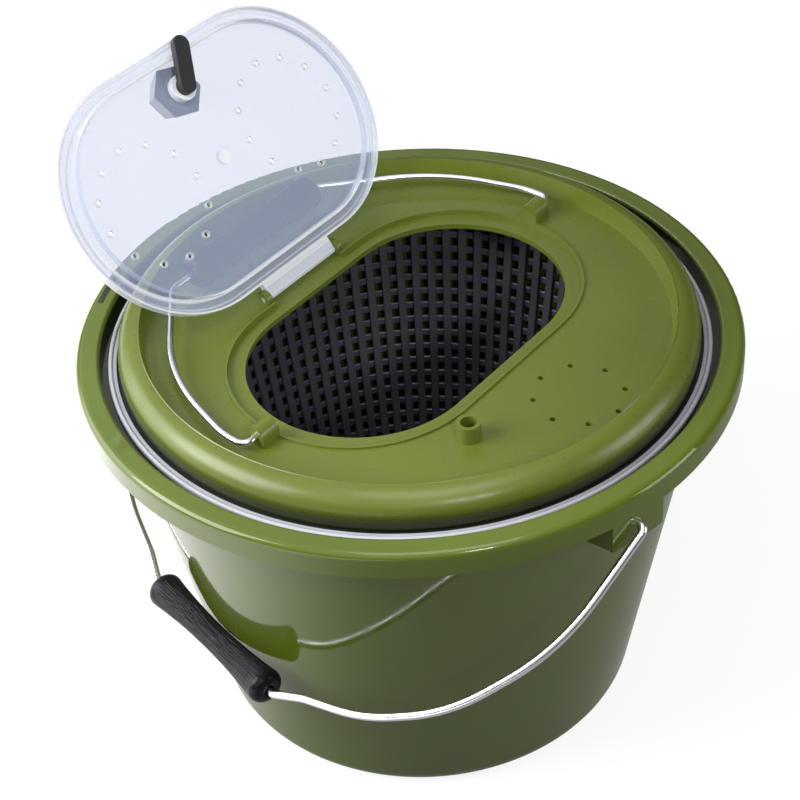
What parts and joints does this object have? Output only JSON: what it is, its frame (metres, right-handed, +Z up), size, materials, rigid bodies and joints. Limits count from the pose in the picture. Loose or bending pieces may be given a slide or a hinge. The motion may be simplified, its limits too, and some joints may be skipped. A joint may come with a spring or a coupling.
{
  "type": "aerated bait bucket",
  "caption": "Green lidded bait bucket with wire bail, hose inlet, rubber seal, mesh basket and clear hinged oval hatch standing open.",
  "frame": {"origin": "centre of the pail's flat bottom", "axes": "+Z up; +X along the hatch's long axis; +Y towards the hatch's hinge, so -Y is the side with the hose inlet and the ring of air holes"},
  "size_m": [0.305, 0.3158, 0.3023],
  "materials": {
    "green_plastic": "satin moulded polypropylene",
    "steel_wire": "bright drawn wire",
    "black_plastic": "matt, grained",
    "dark_mesh": "satin moulded",
    "clear_plastic": "clear, slightly milky",
    "white_plastic": "natural white",
    "seal_rubber": "smooth translucent white"
  },
  "bodies": {
    "bucket": {"outer_bucket": "green_plastic", "bucket_rim": "green_plastic", "bucket_floor": "green_plastic"},
    "bail": {"bail_wire": "steel_wire"},
    "bail_grip": {"bail_grip_near": "black_plastic", "bail_grip_far": "black_plastic"},
    "lid": {"lid": "green_plastic", "lid_deck_rear": "green_plastic", "lid_seal": "seal_rubber", "basket_wall": "dark_mesh", "basket_floor": "dark_mesh"},
    "lid_handle": {"lid_handle_wire": "steel_wire"},
    "lid_grip": {"lid_handle_grip": "black_plastic"},
    "hatch": {"hatch_panel": "clear_plastic", "latch_bush": "white_plastic"},
    "latch": {"latch_tongue": "black_plastic", "latch_knob": "black_plastic"}
  },
  "joints": [
    {"name": "bail_swing", "type": "hinge", "parent": "bucket", "child": "bail", "pos_m": [0, 0, 0.181], "axis": [0.2351, 0.972, 0], "range_deg": [0, 72]},
    {"name": "bail_grip_spin", "type": "hinge", "parent": "bail", "child": "bail_grip", "pos_m": [-0.1205, 0.02915, 0.07938], "axis": [0.2351, 0.972, 0], "continuous": true},
    {"name": "lid_lift", "type": "slide", "parent": "bucket", "child": "lid", "axis": [0, 0, 1], "range_m": [0, 0.2]},
    {"name": "lid_handle_swing", "type": "hinge", "parent": "lid", "child": "lid_handle", "pos_m": [0, 0, 0.2055], "axis": [1, 0, 0], "range_deg": [0, 4]},
    {"name": "lid_grip_spin", "type": "hinge", "parent": "lid_handle", "child": "lid_grip", "pos_m": [0.006, 0.09841, 0.2097], "axis": [1, 0, 0], "continuous": true},
    {"name": "hatch_hinge", "type": "hinge", "parent": "lid", "child": "hatch", "pos_m": [0, 0.0645, 0.2025], "axis": [-1, 0, 0], "range_deg": [-126.5, 0]},
    {"name": "latch_turn", "type": "hinge", "parent": "hatch", "child": "latch", "pos_m": [0, 0.12974, 0.28025], "axis": [0, 0.766, -0.6428], "continuous": true}
  ]
}
